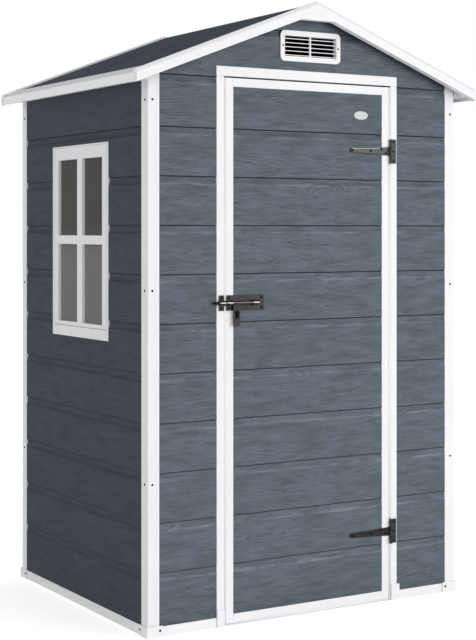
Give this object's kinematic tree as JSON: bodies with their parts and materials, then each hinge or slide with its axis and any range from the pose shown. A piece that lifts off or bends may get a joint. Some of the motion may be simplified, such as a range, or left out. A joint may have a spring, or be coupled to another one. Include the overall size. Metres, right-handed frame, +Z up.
{
  "type": "plastic garden shed",
  "caption": "Small gable-roofed plastic garden shed with lapped slate-grey boards, white trims, a side window, a gable vent and a hinged door with a barrel bolt.",
  "frame": {"origin": "centre of the roof's outline in plan, on the ground, which is also the centre of the footprint", "axes": "+Z up, -Y is the front with the door, +X is to the right seen from the front"},
  "size_m": [1.299, 1.047, 1.9581],
  "materials": {
    "siding": "embossed wood grain",
    "roof": "fine matt texture",
    "floor": "moulded tread",
    "white_trim": "smooth, low sheen",
    "black_metal": "black powder coat",
    "pane": "clear acrylic"
  },
  "bodies": {
    "shed": {"floor_panel": "floor", "threshold": "white_trim", "base_trim_left": "white_trim", "base_trim_right": "white_trim", "base_trim_rear": "white_trim", "base_trim_front_left": "white_trim", "base_trim_front_right": "white_trim", "base_corner_front_left": "white_trim", "base_corner_front_right": "white_trim", "base_corner_rear_left": "white_trim", "base_corner_rear_right": "white_trim", "front_wall_left": "siding", "front_wall_right": "siding", "front_gable": "siding", "rear_wall": "siding", "left_wall": "siding", "right_wall": "siding", "corner_post_front_left": "white_trim", "corner_post_front_right": "white_trim", "corner_post_rear_left": "white_trim", "corner_post_rear_right": "white_trim", "door_jamb_left": "white_trim", "door_jamb_right": "white_trim", "door_head": "white_trim", "window_frame": "white_trim", "window_panes": "pane", "front_vent": "white_trim", "roof_panel_left": "roof", "roof_panel_right": "roof", "gable_trim_front": "white_trim", "gable_trim_rear": "white_trim", "eave_trim_left": "white_trim", "eave_trim_right": "white_trim", "hinge_plate_top": "black_metal", "hinge_plate_bottom": "black_metal", "bolt_keeper": "black_metal"},
    "door": {"door_panel": "siding", "door_stile_left": "white_trim", "door_stile_right": "white_trim", "door_rail_top": "white_trim", "door_rail_bottom": "white_trim", "hinge_strap_top": "black_metal", "hinge_strap_bottom": "black_metal", "bolt_plate": "black_metal"},
    "bolt": {"bolt_rod": "black_metal"}
  },
  "joints": [
    {"name": "door_hinge", "type": "hinge", "parent": "shed", "child": "door", "pos_m": [0.3165, -0.4829, 0.85], "axis": [0, 0, 1], "range_deg": [0, 110]},
    {"name": "bolt_slide", "type": "slide", "parent": "door", "child": "bolt", "axis": [1, 0, 0], "range_m": [0, 0.05]}
  ]
}
